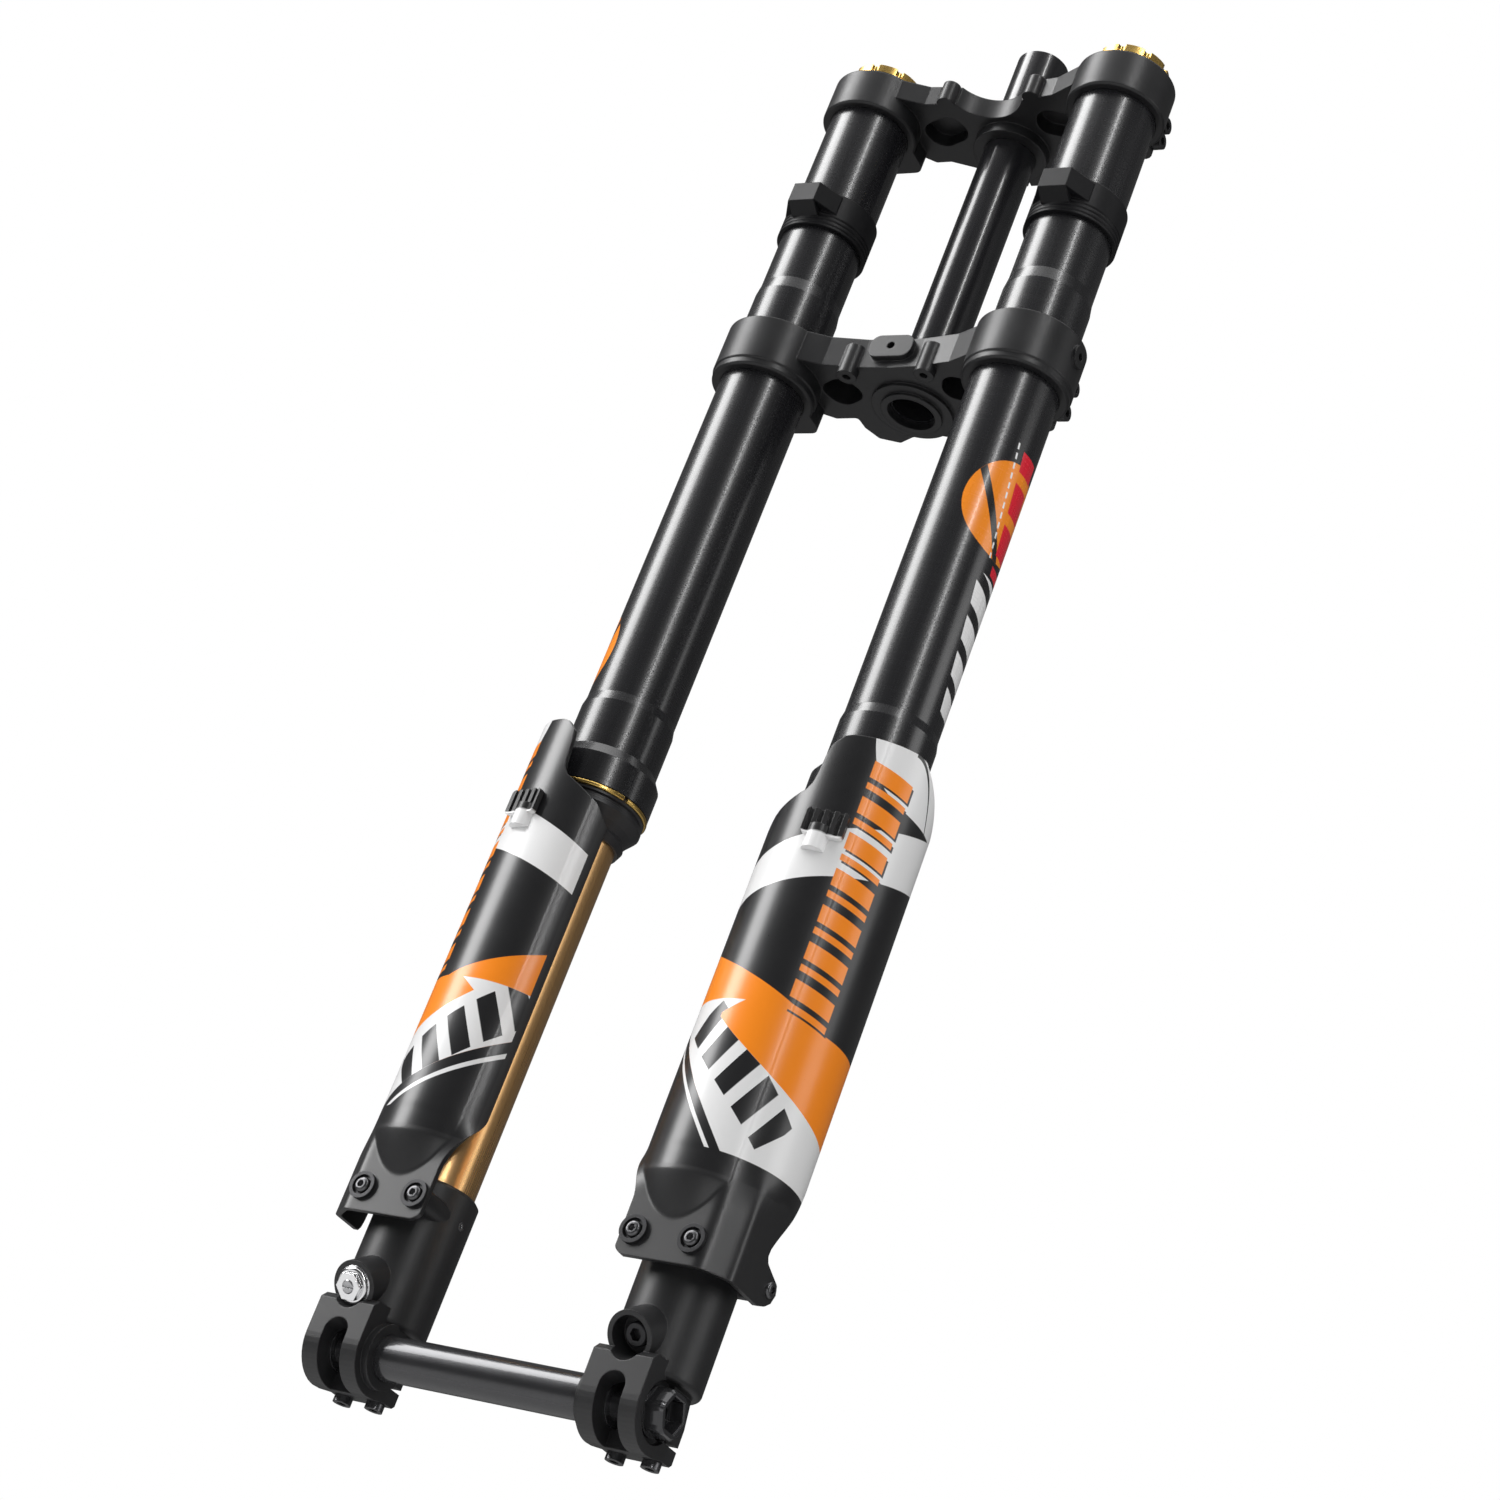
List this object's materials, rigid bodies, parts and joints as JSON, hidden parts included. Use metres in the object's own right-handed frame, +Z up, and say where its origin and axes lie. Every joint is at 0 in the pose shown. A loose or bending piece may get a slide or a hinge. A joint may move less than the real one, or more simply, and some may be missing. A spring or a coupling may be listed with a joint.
{
  "type": "double-crown bicycle suspension fork",
  "caption": "Upside-down double-crown suspension fork with steerer, leg guards, gold caps, sliding lower legs and a through axle.",
  "frame": {"origin": "on the steerer axis at the top face of the lower crown, where the crown race sits", "axes": "+Z up the steerer and legs, -Y forward (ride direction), +X to the brake-hose side; left and right are named as seen from the front"},
  "size_m": [0.2176, 0.0962, 0.8046],
  "materials": {
    "crown_black": "satin black",
    "tube_black": "gloss black anodised",
    "steel_black": "black steel",
    "bolt_steel": "satin",
    "gold": "gold anodised",
    "bronze": "polished bronze-gold hard coat",
    "rubber": "matte",
    "bush": "satin",
    "guard_plastic": "black with orange and white blocks",
    "alloy": "satin",
    "chrome": "polished",
    "lug_black": "fine satin black"
  },
  "bodies": {
    "chassis": {"steerer_tube": "tube_black", "upper_crown": "crown_black", "upper_crown_bolts": "steel_black", "lower_crown": "crown_black", "lower_crown_bolts": "steel_black", "left_upper_tube": "tube_black", "right_upper_tube": "tube_black", "left_bumper": "rubber", "right_bumper": "rubber", "left_top_cap": "gold", "right_top_cap": "gold", "top_cap_seals": "rubber", "upper_bushes": "bush", "lower_bushes": "bush", "oil_seals": "rubber", "seal_clips": "bolt_steel", "dust_wipers": "rubber", "wiper_rings": "gold", "preload_spacer": "alloy", "main_spring": "bolt_steel", "damper_tube": "alloy", "damper_head": "alloy"},
    "lower_legs": {"spring_seat": "alloy", "damper_rod": "chrome", "damper_piston": "alloy", "left_stanchion": "bronze", "right_stanchion": "bronze", "left_axle_lug": "lug_black", "right_axle_lug": "lug_black", "foot_plug": "chrome", "foot_nut": "steel_black", "lug_pinch_bolts": "bolt_steel", "lug_set_screws": "bolt_steel", "left_guard": "guard_plastic", "right_guard": "guard_plastic", "guard_collars": "steel_black", "guard_screws": "chrome", "hose_clips": "rubber"},
    "axle": {"thru_axle": "steel_black"},
    "rebound_adjuster": {"rebound_screw": "bolt_steel"},
    "compression_adjuster": {"compression_knob": "alloy"},
    "preload_adjuster": {"preload_knob": "alloy"}
  },
  "joints": [
    {"name": "leg_travel", "type": "slide", "parent": "chassis", "child": "lower_legs", "axis": [0, 0, 1], "range_m": [0, 0.18], "stiffness_N_per_m": 4500, "springref_m": -0.035, "deforming": ["main_spring"]},
    {"name": "axle_withdraw", "type": "slide", "parent": "lower_legs", "child": "axle", "axis": [1, 0, 0], "range_m": [0, 0.18]},
    {"name": "rebound_turn", "type": "hinge", "parent": "lower_legs", "child": "rebound_adjuster", "pos_m": [-0.0735, -0.0547, -0.5444], "axis": [0, -0.8387, -0.5446], "range_deg": [-540, 540]},
    {"name": "compression_turn", "type": "hinge", "parent": "chassis", "child": "compression_adjuster", "pos_m": [-0.0735, -0.0275, 0.18], "axis": [0, 0, 1], "range_deg": [-540, 540]},
    {"name": "preload_turn", "type": "hinge", "parent": "chassis", "child": "preload_adjuster", "pos_m": [0.0735, -0.0275, 0.18], "axis": [0, 0, 1], "range_deg": [-900, 900]}
  ]
}
